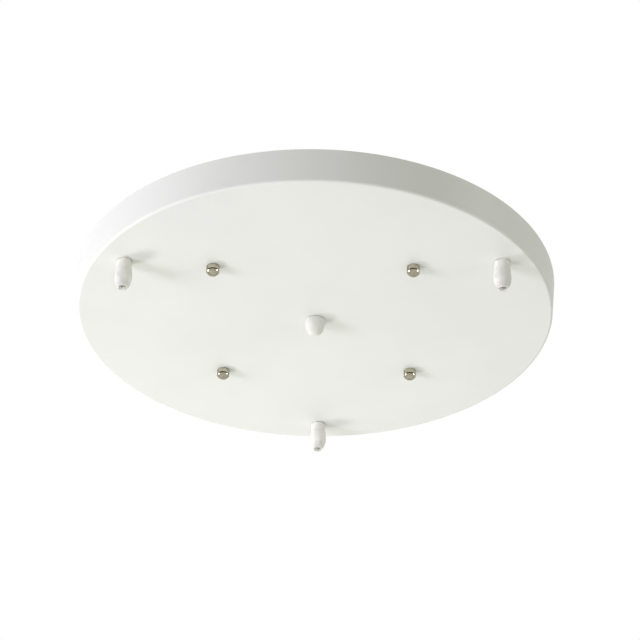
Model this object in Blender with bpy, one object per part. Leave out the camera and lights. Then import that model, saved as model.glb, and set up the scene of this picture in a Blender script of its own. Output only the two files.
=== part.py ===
# Round ceiling canopy for three pendant lights. A pressed steel pan hangs on four studs
# of a crossed bracket, held by four round cap nuts, with three split cord grips near its
# edge and a blanking plug in its middle hole.
# Metres, +Z up. The ceiling plane is z = 0 and everything hangs below it.

import math

import bmesh
import bpy
from mathutils import Matrix, Vector

MM = 0.001

# Clearances
FIT_GAP = 0.3 * MM
PAN_STUD_PLAY = 0.55 * MM

# Pressed pan
PAN_RADIUS = 175 * MM
PAN_HEIGHT = 25 * MM
PAN_SHEET = 1.0 * MM
PAN_INNER_BEND = 0.8 * MM
PAN_WALL_LEAN = 2.0 * MM
PAN_RIM_ROUND = 0.25 * MM

# Crossed bracket
STUD_SPACING = 141 * MM
BAR_WIDTH = 20 * MM
BAR_SHEET = 1.5 * MM
BAR_BEND_RADIUS = 1.2 * MM
BAR_TURN = math.radians(45)
JOGGLE_SIDE_GAP = 2.0 * MM
JOGGLE_RUN = 3.2 * MM
SLOT_WIDTH = 6.2 * MM
SLOT_TO_JOGGLE = 8 * MM
SLOT_TO_STUD = 18 * MM

# Bracket rivet
RIVET_SHANK_DIAMETER = 5.6 * MM
RIVET_FLUSH_HEAD_DIAMETER = 8.0 * MM
RIVET_FORMED_HEAD_DIAMETER = 10 * MM
RIVET_FORMED_HEAD_HEIGHT = 2.2 * MM

# Studs and their lock nuts
STUD_DIAMETER = 3.9 * MM
STUD_CHAMFER = 0.5 * MM
STUD_IN_CAP_NUT = 5.4 * MM
SMALL_NUT_FLATS = 7 * MM
SMALL_NUT_HEIGHT = 3.2 * MM
NUT_CHAMFER_ANGLE = math.radians(30)
HEX_SIDES = 6
HEX_TURN = math.radians(15)

# Round cap nuts
CAP_NUT_DIAMETER = 9.8 * MM
CAP_NUT_COLLAR_INSET = 0.25 * MM
CAP_NUT_COLLAR_HEIGHT = 3.6 * MM
CAP_NUT_GROOVE_WIDTH = 1.0 * MM
CAP_NUT_GROOVE_DEPTH = 0.7 * MM
CAP_NUT_DOME_HEIGHT = 3.0 * MM
CAP_NUT_CHAMFER = 0.35 * MM

# Cord grips
GRIP_COUNT = 3
GRIP_FIRST_ANGLE = math.radians(90)
GRIP_WALL_INSET = 22 * MM
CORD_BORE_DIAMETER = 6.2 * MM
GRIP_THREAD_DIAMETER = 9.7 * MM
GRIP_STEM_LENGTH = 8.5 * MM
GRIP_NECK_DIAMETER = 10.9 * MM
GRIP_NECK_LENGTH = 6.5 * MM
GRIP_EDGE_ROUND = 0.2 * MM
GRIP_NUT_FLATS = 14 * MM
GRIP_NUT_HEIGHT = 3.6 * MM
SPIGOT_DIAMETER = 9.3 * MM
COLLET_FINGERS = 4
COLLET_SLOT_WIDTH = 1.0 * MM
COLLET_SLOT_DEPTH = 5.2 * MM
COLLET_TAPER_LENGTH = 1.3 * MM

# Clamp cap of a cord grip
CLAMP_CAP_DIAMETER = 12.4 * MM
CLAMP_CAP_TOP_DIAMETER = 11.8 * MM
CLAMP_CAP_LENGTH = 15.2 * MM
CLAMP_CAP_STRAIGHT = 7.4 * MM
CLAMP_CAP_TIP_DIAMETER = 7.4 * MM
CLAMP_CAP_CONE_LENGTH = 3.4 * MM
CLAMP_CAP_TIP_LAND = 4.0 * MM
CLAMP_CAP_TIP_ROUND = 0.18 * MM
CLAMP_CAP_BULGE = 1.45
CORD_EXIT_DIAMETER = 6.0 * MM

# Blanking plug in the middle hole
PLUG_DIAMETER = 14.2 * MM
PLUG_LENGTH = 12.3 * MM
PLUG_STRAIGHT = 3.2 * MM
PLUG_BULGE = 2.3
PLUG_CORE_DIAMETER = 6.0 * MM
PLUG_END_WALL = 2.6 * MM

# Earth terminal inside the pan
EARTH_ANGLE = math.radians(25)
EARTH_WALL_INSET = 46 * MM
EARTH_STUD_LENGTH = 11 * MM
EARTH_FLANGE_DIAMETER = 5.6 * MM
EARTH_FLANGE_HEIGHT = 0.8 * MM
EARTH_WASHER_DIAMETER = 9.0 * MM
EARTH_WASHER_SHEET = 0.8 * MM

# Fineness of the round shapes
PAN_SEGMENTS = 108
GRIP_SEGMENTS = 24
CAP_NUT_SEGMENTS = 20
SMALL_SEGMENTS = 18
BEND_STEPS = 4
JOGGLE_STEPS = 3
ROUND_END_STEPS = 8
CURVE_STEPS = 5
CAP_DOME_STEPS = 6
PLUG_DOME_STEPS = 8
WELD_DISTANCE = 1e-7
CUT_OVERRUN = 5 * MM
SHARP_ANGLE = math.radians(32)

# Places worked out from the sizes above
PAN_FACE = -PAN_HEIGHT
PAN_INNER_FACE = PAN_FACE + PAN_SHEET
PAN_OUTER_BEND = PAN_INNER_BEND + PAN_SHEET
STUD_REACH = STUD_SPACING / math.sqrt(2)
GRIP_CIRCLE = PAN_RADIUS - GRIP_WALL_INSET
GRIP_HOLE_RADIUS = GRIP_THREAD_DIAMETER / 2 + FIT_GAP
STUD_HOLE_RADIUS = STUD_DIAMETER / 2 + FIT_GAP
RIVET_HOLE_RADIUS = RIVET_SHANK_DIAMETER / 2 + FIT_GAP
JOGGLE_DROP = BAR_SHEET + FIT_GAP
JOGGLE_FLAT_HALF = BAR_WIDTH / 2 + JOGGLE_SIDE_GAP
SLOT_START = JOGGLE_FLAT_HALF + JOGGLE_RUN + SLOT_TO_JOGGLE
SLOT_END = STUD_REACH - SLOT_TO_STUD


def make_material(name, colour, roughness, metallic):
    material = bpy.data.materials.new(name)
    material.use_nodes = True
    shader = material.node_tree.nodes["Principled BSDF"]
    shader.inputs["Base Color"].default_value = (*colour, 1)
    shader.inputs["Roughness"].default_value = roughness
    shader.inputs["Metallic"].default_value = metallic
    material.diffuse_color = (*colour, 1)
    return material


def add_object(name, mesh, material, parent, place=(0, 0, 0), turn=0.0):
    mesh.materials.append(material)
    mesh.shade_smooth()
    mesh.set_sharp_from_angle(angle=SHARP_ANGLE)
    item = bpy.data.objects.new(name, mesh)
    item.parent = parent
    item.location = place
    item.rotation_euler = (0, 0, turn)
    bpy.context.scene.collection.objects.link(item)
    return item


def add_place(name, parent, place, turn=0.0):
    empty = bpy.data.objects.new(name, None)
    empty.parent = parent
    empty.location = place
    empty.rotation_euler = (0, 0, turn)
    empty.empty_display_size = 10 * MM
    bpy.context.scene.collection.objects.link(empty)
    return empty


def to_mesh(name, edit):
    mesh = bpy.data.meshes.new(name)
    edit.to_mesh(mesh)
    edit.free()
    return mesh


def turned_mesh(name, profile, segments):
    # A profile of (radius, height) points is spun about Z. One that starts away from the
    # axis is a closed ring, and one that starts on the axis ends on it too.
    edit = bmesh.new()
    points = [edit.verts.new((radius, 0, height)) for radius, height in profile]
    edges = [edit.edges.new(pair) for pair in zip(points, points[1:])]
    if profile[0][0] > 0:
        edges.append(edit.edges.new((points[-1], points[0])))
    bmesh.ops.spin(edit, geom=points + edges, axis=(0, 0, 1), cent=(0, 0, 0),
                   steps=segments, angle=math.tau, use_merge=True)
    bmesh.ops.remove_doubles(edit, verts=edit.verts, dist=WELD_DISTANCE)
    bmesh.ops.recalc_face_normals(edit, faces=edit.faces)
    return to_mesh(name, edit)


def axis_capped_mesh(name, profile, segments):
    # Like turned_mesh, for a ring profile that meets the axis at two points in its middle:
    # the points are put in order from one axis point round to the other
    touching = [index for index, point in enumerate(profile) if point[0] == 0]
    first = touching[1]
    return turned_mesh(name, profile[first:] + profile[:first], segments)


def prism_mesh(name, outline, low, high):
    edit = bmesh.new()
    face = edit.faces.new([edit.verts.new((x, y, low)) for x, y in outline])
    grown = bmesh.ops.extrude_face_region(edit, geom=[face])
    raised = [item for item in grown["geom"] if isinstance(item, bmesh.types.BMVert)]
    bmesh.ops.translate(edit, verts=raised, vec=(0, 0, high - low))
    bmesh.ops.recalc_face_normals(edit, faces=edit.faces)
    return to_mesh(name, edit)


def drill_mesh(name, places, radius, low, high, segments=GRIP_SEGMENTS):
    edit = bmesh.new()
    for x, y in places:
        middle = Matrix.Translation((x, y, (low + high) / 2))
        bmesh.ops.create_cone(edit, cap_ends=True, segments=segments, radius1=radius,
                              radius2=radius, depth=high - low, matrix=middle)
    return to_mesh(name, edit)


def apply_cut(target, mesh, operation="DIFFERENCE"):
    # The cutter shares its target's parent, place and turn
    cutter = bpy.data.objects.new(mesh.name, mesh)
    cutter.parent = target.parent
    cutter.location = target.location
    cutter.rotation_euler = target.rotation_euler
    cutter.hide_render = True
    cutter.display_type = "WIRE"
    bpy.context.scene.collection.objects.link(cutter)
    boolean = target.modifiers.new(mesh.name, "BOOLEAN")
    boolean.operation = operation
    boolean.solver = "EXACT"
    boolean.object = cutter


def on_circle(radius, angle):
    return radius * math.cos(angle), radius * math.sin(angle)


def arc_points(centre, radius, start, end, steps):
    points = []
    for step in range(steps + 1):
        x, y = on_circle(radius, start + (end - start) * step / steps)
        points.append((centre[0] + x, centre[1] + y))
    return points


def stadium_outline(start, end, radius, steps=ROUND_END_STEPS):
    # A slot shape along X with round ends centred on start and end
    far_end = arc_points((end, 0), radius, -math.pi / 2, math.pi / 2, steps)
    near_end = arc_points((start, 0), radius, math.pi / 2, 3 * math.pi / 2, steps)
    return far_end + near_end


def bulged_taper(start, end, power, steps=CURVE_STEPS):
    # From a start (radius, height) down to an end, full at first and steeper later
    points = []
    for step in range(steps + 1):
        share = step / steps
        radius = start[0] + (end[0] - start[0]) * share ** power
        points.append((radius, start[1] + (end[1] - start[1]) * share))
    return points


def domed_end(radius, start, height, power, steps):
    # A dome below start that closes on the axis. A power above 2 makes it fuller than round.
    points = []
    for step in range(steps):
        angle = math.pi / 2 * step / steps
        points.append((radius * math.cos(angle), start - height * math.sin(angle) ** (2 / power)))
    return points + [(0, start - height)]


def pan_profile():
    # Outer side from the middle of the face to the rim, then back along the inner side
    tilt = math.atan2(PAN_WALL_LEAN, PAN_HEIGHT - PAN_OUTER_BEND)
    bend_middle = (PAN_RADIUS - PAN_WALL_LEAN - PAN_OUTER_BEND, PAN_FACE + PAN_OUTER_BEND)
    outer_bend = arc_points(bend_middle, PAN_OUTER_BEND, -math.pi / 2, -tilt, BEND_STEPS)
    inner_corner = arc_points(bend_middle, PAN_INNER_BEND, -tilt, -math.pi / 2, BEND_STEPS)
    rim_in = PAN_RADIUS - PAN_SHEET
    rim = [(PAN_RADIUS, -PAN_RIM_ROUND), (PAN_RADIUS - PAN_RIM_ROUND, 0),
           (rim_in + PAN_RIM_ROUND, 0), (rim_in, -PAN_RIM_ROUND)]
    return [(0, PAN_FACE)] + outer_bend + rim + inner_corner + [(0, PAN_INNER_FACE)]


def make_pan(material, parent, grip_places, stud_places):
    mesh = turned_mesh("canopy_pan", pan_profile(), PAN_SEGMENTS)
    pan = add_object("canopy_pan", mesh, material, parent)
    low = PAN_FACE - CUT_OVERRUN
    high = PAN_INNER_FACE + CUT_OVERRUN
    threaded_holes = grip_places + [(0, 0)]
    apply_cut(pan, drill_mesh("thread_hole_drill", threaded_holes, GRIP_HOLE_RADIUS, low, high))
    stud_hole = STUD_DIAMETER / 2 + PAN_STUD_PLAY
    apply_cut(pan, drill_mesh("stud_hole_drill", stud_places, stud_hole, low, high, SMALL_SEGMENTS))


def rounded_corners(path, radius, steps):
    # Each inner corner of an open (x, z) path becomes an arc of the given radius
    points = [path[0]]
    for before, corner, after in zip(path, path[1:], path[2:]):
        corner = Vector(corner)
        back = (Vector(before) - corner).normalized()
        ahead = (Vector(after) - corner).normalized()
        half = back.angle(ahead) / 2
        setback = radius / math.tan(half)
        middle = corner + (back + ahead).normalized() * (radius / math.sin(half))
        first = corner + back * setback - middle
        last = corner + ahead * setback - middle
        sweep = first.angle_signed(last)
        for step in range(steps + 1):
            turned = first.copy()
            turned.rotate(Matrix.Rotation(-sweep * step / steps, 2))
            points.append(tuple(middle + turned))
    points.append(path[-1])
    return points


def strip_mesh(name, path, sheet, width):
    # A bent strip whose mid line follows an (x, z) path, extruded across its width
    path = [Vector(point) for point in path]
    directions = [(after - before).normalized() for before, after in zip(path, path[1:])]
    upper = []
    lower = []
    for index, point in enumerate(path):
        before = directions[max(index - 1, 0)]
        after = directions[min(index, len(directions) - 1)]
        along = (before + after).normalized()
        normal = Vector((-along.y, along.x)) * (sheet / 2 / along.dot(after))
        upper.append(point + normal)
        lower.append(point - normal)
    edit = bmesh.new()
    outline = [edit.verts.new((point.x, -width / 2, point.y)) for point in upper + lower[::-1]]
    face = edit.faces.new(outline)
    grown = bmesh.ops.extrude_face_region(edit, geom=[face])
    moved = [item for item in grown["geom"] if isinstance(item, bmesh.types.BMVert)]
    bmesh.ops.translate(edit, verts=moved, vec=(0, width, 0))
    bmesh.ops.recalc_face_normals(edit, faces=edit.faces)
    return to_mesh(name, edit)


def cut_bar_holes(bar):
    low = -JOGGLE_DROP - BAR_SHEET - CUT_OVERRUN
    high = CUT_OVERRUN
    stud_places = [(-STUD_REACH, 0), (STUD_REACH, 0)]
    apply_cut(bar, drill_mesh(bar.name + "_stud_drill", stud_places, STUD_HOLE_RADIUS,
                              low, high, SMALL_SEGMENTS))
    slot_ends = (SLOT_START + SLOT_WIDTH / 2, SLOT_END - SLOT_WIDTH / 2)
    for side, ends in (("a", slot_ends), ("b", (-slot_ends[1], -slot_ends[0]))):
        slot = stadium_outline(ends[0], ends[1], SLOT_WIDTH / 2)
        apply_cut(bar, prism_mesh(bar.name + "_slot_" + side, slot, low, high))


def make_upper_bar(material, parent):
    outline = stadium_outline(-STUD_REACH, STUD_REACH, BAR_WIDTH / 2)
    mesh = prism_mesh("bracket_bar_upper", outline, -BAR_SHEET, 0)
    bar = add_object("bracket_bar_upper", mesh, material, parent, turn=BAR_TURN)
    cut_bar_holes(bar)
    # The countersink lets the rivet's head lie flush with the ceiling side
    mouth = RIVET_FLUSH_HEAD_DIAMETER / 2 + FIT_GAP
    low = -BAR_SHEET - CUT_OVERRUN
    profile = [(0, CUT_OVERRUN), (mouth, CUT_OVERRUN), (mouth, 0),
               (RIVET_HOLE_RADIUS, RIVET_HOLE_RADIUS - mouth), (RIVET_HOLE_RADIUS, low), (0, low)]
    apply_cut(bar, turned_mesh("countersink", profile, SMALL_SEGMENTS))


def make_lower_bar(material, parent):
    reach = STUD_REACH + BAR_WIDTH / 2
    top = -BAR_SHEET / 2
    step_end = JOGGLE_FLAT_HALF + JOGGLE_RUN
    path = [(-reach, top), (-step_end, top), (-JOGGLE_FLAT_HALF, top - JOGGLE_DROP),
            (JOGGLE_FLAT_HALF, top - JOGGLE_DROP), (step_end, top), (reach, top)]
    bent = rounded_corners(path, BAR_BEND_RADIUS + BAR_SHEET / 2, JOGGLE_STEPS)
    mesh = strip_mesh("bracket_bar_lower", bent, BAR_SHEET, BAR_WIDTH)
    bar = add_object("bracket_bar_lower", mesh, material, parent, turn=-BAR_TURN)
    outline = stadium_outline(-STUD_REACH, STUD_REACH, BAR_WIDTH / 2)
    low = -JOGGLE_DROP - BAR_SHEET - CUT_OVERRUN
    apply_cut(bar, prism_mesh("round_ends", outline, low, CUT_OVERRUN), "INTERSECT")
    apply_cut(bar, drill_mesh("rivet_drill", [(0, 0)], RIVET_HOLE_RADIUS, low, CUT_OVERRUN,
                              SMALL_SEGMENTS))
    cut_bar_holes(bar)


def make_rivet(material, parent):
    # A flush countersunk head above, the shank through both bars and a domed head below
    flush = RIVET_FLUSH_HEAD_DIAMETER / 2
    shank = RIVET_SHANK_DIAMETER / 2
    under_bars = -JOGGLE_DROP - BAR_SHEET - FIT_GAP
    formed = RIVET_FORMED_HEAD_DIAMETER / 2
    dome = []
    for step in range(CURVE_STEPS):
        angle = math.pi / 2 * step / CURVE_STEPS
        drop = RIVET_FORMED_HEAD_HEIGHT * math.sin(angle)
        dome.append((formed * math.cos(angle), under_bars - drop))
    bottom = (0, under_bars - RIVET_FORMED_HEAD_HEIGHT)
    profile = [(0, 0), (flush, 0), (shank, shank - flush), (shank, under_bars)] + dome + [bottom]
    mesh = turned_mesh("bracket_rivet", profile, SMALL_SEGMENTS)
    add_object("bracket_rivet", mesh, material, parent)


def rod_profile(radius, high, low, chamfer):
    return [(0, high), (radius - chamfer, high), (radius, high - chamfer),
            (radius, low + chamfer), (radius - chamfer, low), (0, low)]


def hex_nut(name, flats, height, bore_radius, material, parent, low, turn=0.0):
    # A turned blank with both corner chamfers is cut to six flats and then bored
    corner = flats / 2 / math.cos(math.pi / HEX_SIDES)
    drop = (corner - flats / 2) * math.tan(NUT_CHAMFER_ANGLE)
    blank = [(0, height), (flats / 2, height), (corner, height - drop),
             (corner, drop), (flats / 2, 0), (0, 0)]
    mesh = turned_mesh(name, blank, SMALL_SEGMENTS)
    nut = add_object(name, mesh, material, parent, place=(0, 0, low), turn=turn)
    angles = [HEX_TURN + math.tau * side / HEX_SIDES for side in range(HEX_SIDES)]
    outline = [on_circle(corner, angle) for angle in angles]
    high = height + CUT_OVERRUN
    apply_cut(nut, prism_mesh(name + "_flats", outline, -CUT_OVERRUN, high), "INTERSECT")
    apply_cut(nut, drill_mesh(name + "_bore", [(0, 0)], bore_radius, -CUT_OVERRUN, high,
                              SMALL_SEGMENTS))


def cap_nut_profile():
    # Heights from the pan's outer face: collar, groove, then a dome below a blind bore
    dome = CAP_NUT_DIAMETER / 2
    collar = dome - CAP_NUT_COLLAR_INSET
    top = -FIT_GAP
    collar_end = top - CAP_NUT_COLLAR_HEIGHT
    groove_end = collar_end - CAP_NUT_GROOVE_WIDTH
    groove = collar - CAP_NUT_GROOVE_DEPTH
    bore = STUD_DIAMETER / 2 + FIT_GAP
    bore_end = -STUD_IN_CAP_NUT - FIT_GAP
    profile = [(bore, top), (collar - CAP_NUT_CHAMFER, top), (collar, top - CAP_NUT_CHAMFER),
               (collar, collar_end), (groove, collar_end), (groove, groove_end)]
    ball = (dome ** 2 + CAP_NUT_DOME_HEIGHT ** 2) / (2 * CAP_NUT_DOME_HEIGHT)
    middle = groove_end - CAP_NUT_DOME_HEIGHT + ball
    rim_angle = math.asin(dome / ball)
    for step in range(CAP_DOME_STEPS):
        angle = rim_angle * (1 - step / CAP_DOME_STEPS)
        profile.append((ball * math.sin(angle), middle - ball * math.cos(angle)))
    return profile, (bore, bore_end), groove_end - CAP_NUT_DOME_HEIGHT


def make_stud_set(number, place, materials, parent):
    # The stud passes the bar, the lock nut, the pan's hole and ends in its cap nut
    turn = math.atan2(place[1], place[0])
    seat = add_place("stud_place_%d" % number, parent, (*place, 0), turn)
    low = PAN_FACE - STUD_IN_CAP_NUT
    stud = rod_profile(STUD_DIAMETER / 2, -FIT_GAP, low, STUD_CHAMFER)
    mesh = turned_mesh("stud_%d" % number, stud, SMALL_SEGMENTS)
    add_object("stud_%d" % number, mesh, materials["zinc"], seat)
    nut_low = -BAR_SHEET - FIT_GAP - SMALL_NUT_HEIGHT
    hex_nut("stud_nut_%d" % number, SMALL_NUT_FLATS, SMALL_NUT_HEIGHT, STUD_HOLE_RADIUS,
            materials["zinc"], seat, nut_low, turn=math.pi / 2)
    outside, (bore, bore_end), tip = cap_nut_profile()
    closed = outside + [(0, tip), (0, bore_end), (bore, bore_end)]
    mesh = axis_capped_mesh("cap_nut_%d" % number, closed, CAP_NUT_SEGMENTS)
    add_object("cap_nut_%d" % number, mesh, materials["nickel"], seat, place=(0, 0, PAN_FACE))


def make_grip(number, angle, materials, parent):
    x, y = on_circle(GRIP_CIRCLE, angle)
    seat = add_place("grip_place_%d" % number, parent, (x, y, PAN_FACE), angle)
    stem = GRIP_THREAD_DIAMETER / 2
    neck = GRIP_NECK_DIAMETER / 2
    spigot = SPIGOT_DIAMETER / 2
    bore = CORD_BORE_DIAMETER / 2
    edge = GRIP_EDGE_ROUND
    stem_top = PAN_SHEET + GRIP_STEM_LENGTH
    neck_end = -FIT_GAP - GRIP_NECK_LENGTH

    # The cap's inner cone starts where its straight thread ends
    cap_top = neck_end - FIT_GAP
    cap_end = cap_top - CLAMP_CAP_LENGTH
    cone_end = cap_end + CLAMP_CAP_TIP_LAND
    cone_start = cone_end + CLAMP_CAP_CONE_LENGTH
    cap_bore = spigot + FIT_GAP
    exit_radius = CORD_EXIT_DIAMETER / 2
    cone_slope = (cap_bore - exit_radius) / CLAMP_CAP_CONE_LENGTH

    # The collet's tapered end keeps the same slope as the cone around it
    finger_end = cone_start - COLLET_TAPER_LENGTH
    finger_tip = spigot - cone_slope * COLLET_TAPER_LENGTH
    body = [(bore, stem_top - edge), (bore + edge, stem_top), (stem - edge, stem_top),
            (stem, stem_top - edge), (stem, -FIT_GAP), (neck - edge, -FIT_GAP),
            (neck, -FIT_GAP - edge), (neck, neck_end + edge), (neck - edge, neck_end),
            (spigot, neck_end), (spigot, cone_start), (finger_tip, finger_end), (bore, finger_end)]
    name = "grip_body_%d" % number
    item = add_object(name, turned_mesh(name, body, GRIP_SEGMENTS), materials["nylon"], seat)
    slot_top = finger_end + COLLET_SLOT_DEPTH
    for half in range(COLLET_FINGERS // 2):
        turn = math.tau * half / COLLET_FINGERS
        reach = spigot + CUT_OVERRUN
        side = COLLET_SLOT_WIDTH / 2
        blade = [(reach, -side), (reach, side), (-reach, side), (-reach, -side)]
        turned = [tuple(Matrix.Rotation(turn, 2) @ Vector(point)) for point in blade]
        low = finger_end - CUT_OVERRUN
        apply_cut(item, prism_mesh("%s_slit_%d" % (name, half), turned, low, slot_top))

    shoulder = CLAMP_CAP_DIAMETER / 2
    cap_rim = CLAMP_CAP_TOP_DIAMETER / 2
    tip = CLAMP_CAP_TIP_DIAMETER / 2
    taper_start = cap_top - CLAMP_CAP_STRAIGHT
    taper_end = (tip, cap_end + CLAMP_CAP_TIP_ROUND)
    taper = bulged_taper((shoulder, taper_start), taper_end, CLAMP_CAP_BULGE)
    cap = [(cap_bore, cap_top), (cap_rim - edge, cap_top), (cap_rim, cap_top - edge)] + taper
    cap += [(tip - CLAMP_CAP_TIP_ROUND, cap_end), (exit_radius, cap_end),
            (exit_radius, cone_end), (cap_bore, cone_start)]
    name = "grip_cap_%d" % number
    add_object(name, turned_mesh(name, cap, GRIP_SEGMENTS), materials["nylon"], seat)
    hex_nut("grip_nut_%d" % number, GRIP_NUT_FLATS, GRIP_NUT_HEIGHT, GRIP_HOLE_RADIUS,
            materials["nylon"], seat, PAN_SHEET + FIT_GAP)


def make_plug(materials, parent):
    # Moulded in one piece: a domed cap below the pan and a cored threaded stem above it
    seat = add_place("plug_place", parent, (0, 0, PAN_FACE))
    body = PLUG_DIAMETER / 2
    stem = GRIP_THREAD_DIAMETER / 2
    core = PLUG_CORE_DIAMETER / 2
    edge = GRIP_EDGE_ROUND
    stem_top = PAN_SHEET + GRIP_STEM_LENGTH
    end = -FIT_GAP - PLUG_LENGTH
    core_end = end + PLUG_END_WALL
    dome = domed_end(body, -FIT_GAP - PLUG_STRAIGHT, PLUG_LENGTH - PLUG_STRAIGHT, PLUG_BULGE,
                     PLUG_DOME_STEPS)
    profile = [(0, core_end), (core, core_end), (core, stem_top), (stem - edge, stem_top),
               (stem, stem_top - edge), (stem, -FIT_GAP), (body - edge, -FIT_GAP),
               (body, -FIT_GAP - edge)] + dome
    mesh = turned_mesh("centre_plug", profile, GRIP_SEGMENTS)
    add_object("centre_plug", mesh, materials["nylon"], seat)
    hex_nut("centre_plug_nut", GRIP_NUT_FLATS, GRIP_NUT_HEIGHT, GRIP_HOLE_RADIUS,
            materials["nylon"], seat, PAN_SHEET + FIT_GAP)


def make_earth_terminal(materials, parent):
    # A flanged stud on the pan's inner face carries a washer and a nut
    x, y = on_circle(PAN_RADIUS - EARTH_WALL_INSET, EARTH_ANGLE)
    seat = add_place("earth_place", parent, (x, y, PAN_INNER_FACE + FIT_GAP), EARTH_ANGLE)
    flange = EARTH_FLANGE_DIAMETER / 2
    radius = STUD_DIAMETER / 2
    stud = [(0, EARTH_STUD_LENGTH), (radius - STUD_CHAMFER, EARTH_STUD_LENGTH),
            (radius, EARTH_STUD_LENGTH - STUD_CHAMFER), (radius, EARTH_FLANGE_HEIGHT),
            (flange, EARTH_FLANGE_HEIGHT), (flange, 0), (0, 0)]
    add_object("earth_stud", turned_mesh("earth_stud", stud, SMALL_SEGMENTS), materials["brass"], seat)
    low = EARTH_FLANGE_HEIGHT + FIT_GAP
    high = low + EARTH_WASHER_SHEET
    outer = EARTH_WASHER_DIAMETER / 2
    ring = [(STUD_HOLE_RADIUS, high), (outer, high), (outer, low), (STUD_HOLE_RADIUS, low)]
    mesh = turned_mesh("earth_washer", ring, SMALL_SEGMENTS)
    add_object("earth_washer", mesh, materials["zinc"], seat)
    hex_nut("earth_nut", SMALL_NUT_FLATS, SMALL_NUT_HEIGHT, STUD_HOLE_RADIUS,
            materials["brass"], seat, high + FIT_GAP)


def main():
    for item in list(bpy.data.objects):
        bpy.data.objects.remove(item, do_unlink=True)

    materials = {
        "coat": make_material("white_powder_coat", (0.82, 0.84, 0.80), 0.38, 0.0),
        "zinc": make_material("zinc_plated_steel", (0.66, 0.67, 0.68), 0.35, 1.0),
        "nickel": make_material("nickel_plating", (0.72, 0.68, 0.60), 0.16, 1.0),
        "nylon": make_material("white_nylon", (0.84, 0.85, 0.80), 0.42, 0.0),
        "brass": make_material("plain_brass", (0.72, 0.55, 0.26), 0.3, 1.0),
    }
    ceiling = add_place("ceiling_centre", None, (0, 0, 0))
    grip_angles = [GRIP_FIRST_ANGLE + math.tau * index / GRIP_COUNT for index in range(GRIP_COUNT)]
    grip_places = [on_circle(GRIP_CIRCLE, angle) for angle in grip_angles]
    half = STUD_SPACING / 2
    stud_places = [(-half, -half), (half, -half), (half, half), (-half, half)]

    make_pan(materials["coat"], ceiling, grip_places, stud_places)
    make_upper_bar(materials["zinc"], ceiling)
    make_lower_bar(materials["zinc"], ceiling)
    make_rivet(materials["zinc"], ceiling)
    for number, place in enumerate(stud_places, start=1):
        make_stud_set(number, place, materials, ceiling)
    for number, angle in enumerate(grip_angles, start=1):
        make_grip(number, angle, materials, ceiling)
    make_plug(materials, ceiling)
    make_earth_terminal(materials, ceiling)


main()
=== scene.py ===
# Looks of a round ceiling canopy for three pendant lights: a white pan on a crossed bracket.
# Metres, +Z up. The ceiling plane is z = 0 and everything hangs below it.

import math

import bmesh
import bpy
from mathutils import Matrix, Vector


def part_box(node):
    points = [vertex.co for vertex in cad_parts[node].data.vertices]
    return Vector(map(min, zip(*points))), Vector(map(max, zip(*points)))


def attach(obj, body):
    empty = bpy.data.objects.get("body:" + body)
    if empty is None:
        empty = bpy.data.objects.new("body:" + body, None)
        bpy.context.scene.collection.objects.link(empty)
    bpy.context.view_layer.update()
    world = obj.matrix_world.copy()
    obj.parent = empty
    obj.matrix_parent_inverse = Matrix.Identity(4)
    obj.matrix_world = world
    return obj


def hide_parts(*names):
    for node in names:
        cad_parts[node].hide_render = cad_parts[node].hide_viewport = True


mm = 0.001
fullTurn = math.tau
panFace = -25 * mm  # height of the pan's face
seatGap = 0.3 * mm  # play between two solids of the frame
overrun = 1 * mm  # how far a cutter stands out of the piece that it cuts
near = 0.01 * mm  # how close to a place still counts as there
roundSteps = 4  # steps in a small rounded edge

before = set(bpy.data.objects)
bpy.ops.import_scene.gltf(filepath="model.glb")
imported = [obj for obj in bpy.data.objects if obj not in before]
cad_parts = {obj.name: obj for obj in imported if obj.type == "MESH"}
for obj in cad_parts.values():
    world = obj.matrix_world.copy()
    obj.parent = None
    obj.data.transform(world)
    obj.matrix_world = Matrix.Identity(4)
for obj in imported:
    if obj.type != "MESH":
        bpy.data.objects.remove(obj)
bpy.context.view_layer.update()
print("stage: frame loaded")


# Shader maths: a Signal is one socket, and sums on it add Math nodes

class Signal:
    def __init__(self, nodes, socket):
        self.nodes = nodes
        self.socket = socket

    def combine(self, operation, first, second):
        return self.nodes.node("ShaderNodeMath", {"operation": operation}, {0: first, 1: second})

    def __add__(self, other):
        return self.combine("ADD", self, other)

    def __radd__(self, other):
        return self.combine("ADD", other, self)

    def __sub__(self, other):
        return self.combine("SUBTRACT", self, other)

    def __rsub__(self, other):
        return self.combine("SUBTRACT", other, self)

    def __mul__(self, other):
        return self.combine("MULTIPLY", self, other)

    def __rmul__(self, other):
        return self.combine("MULTIPLY", other, self)

    def __gt__(self, other):
        return self.combine("GREATER_THAN", self, other)

    def __lt__(self, other):
        return self.combine("LESS_THAN", self, other)


class Nodes:
    def __init__(self, tree):
        self.tree = tree

    def feed(self, socket, value):
        if isinstance(value, Signal):
            self.tree.links.new(value.socket, socket)
        else:
            socket.default_value = value

    def node(self, kind, settings, sockets, output=0):
        made = self.tree.nodes.new(kind)
        for key, value in settings.items():
            setattr(made, key, value)
        for key, value in sockets.items():
            self.feed(made.inputs[key], value)
        return Signal(self, made.outputs[output])


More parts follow.
